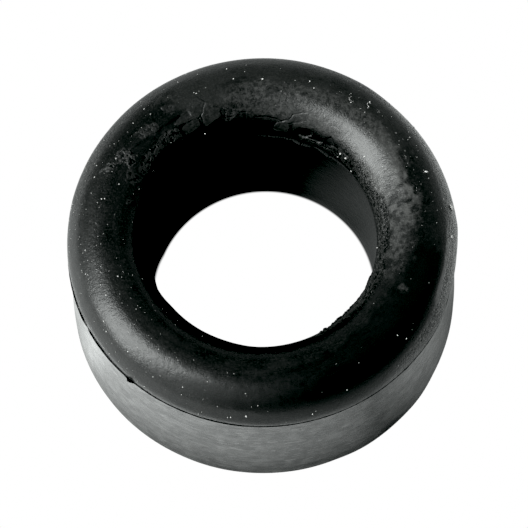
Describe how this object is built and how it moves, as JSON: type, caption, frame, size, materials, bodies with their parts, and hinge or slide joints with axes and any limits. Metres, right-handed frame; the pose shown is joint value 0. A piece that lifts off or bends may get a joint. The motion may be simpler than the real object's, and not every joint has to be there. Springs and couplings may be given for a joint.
{
  "type": "rubber damper ring",
  "caption": "Black moulded rubber damper ring with a straight band, a full-round crown and a plain bore right through.",
  "frame": {"origin": "on the ring's axis, in the plane of the flat foot", "axes": "+Z along the axis, from the flat foot up to the rounded crown; the rag on the parting flash is at 226.5 degrees from +X"},
  "size_m": [0.0343, 0.0342, 0.016],
  "materials": {
    "black_rubber": "moulded black rubber, satin on the crown, duller and slightly dusty on the band"
  },
  "bodies": {
    "root": {"damper_ring": "black_rubber"}
  },
  "joints": []
}
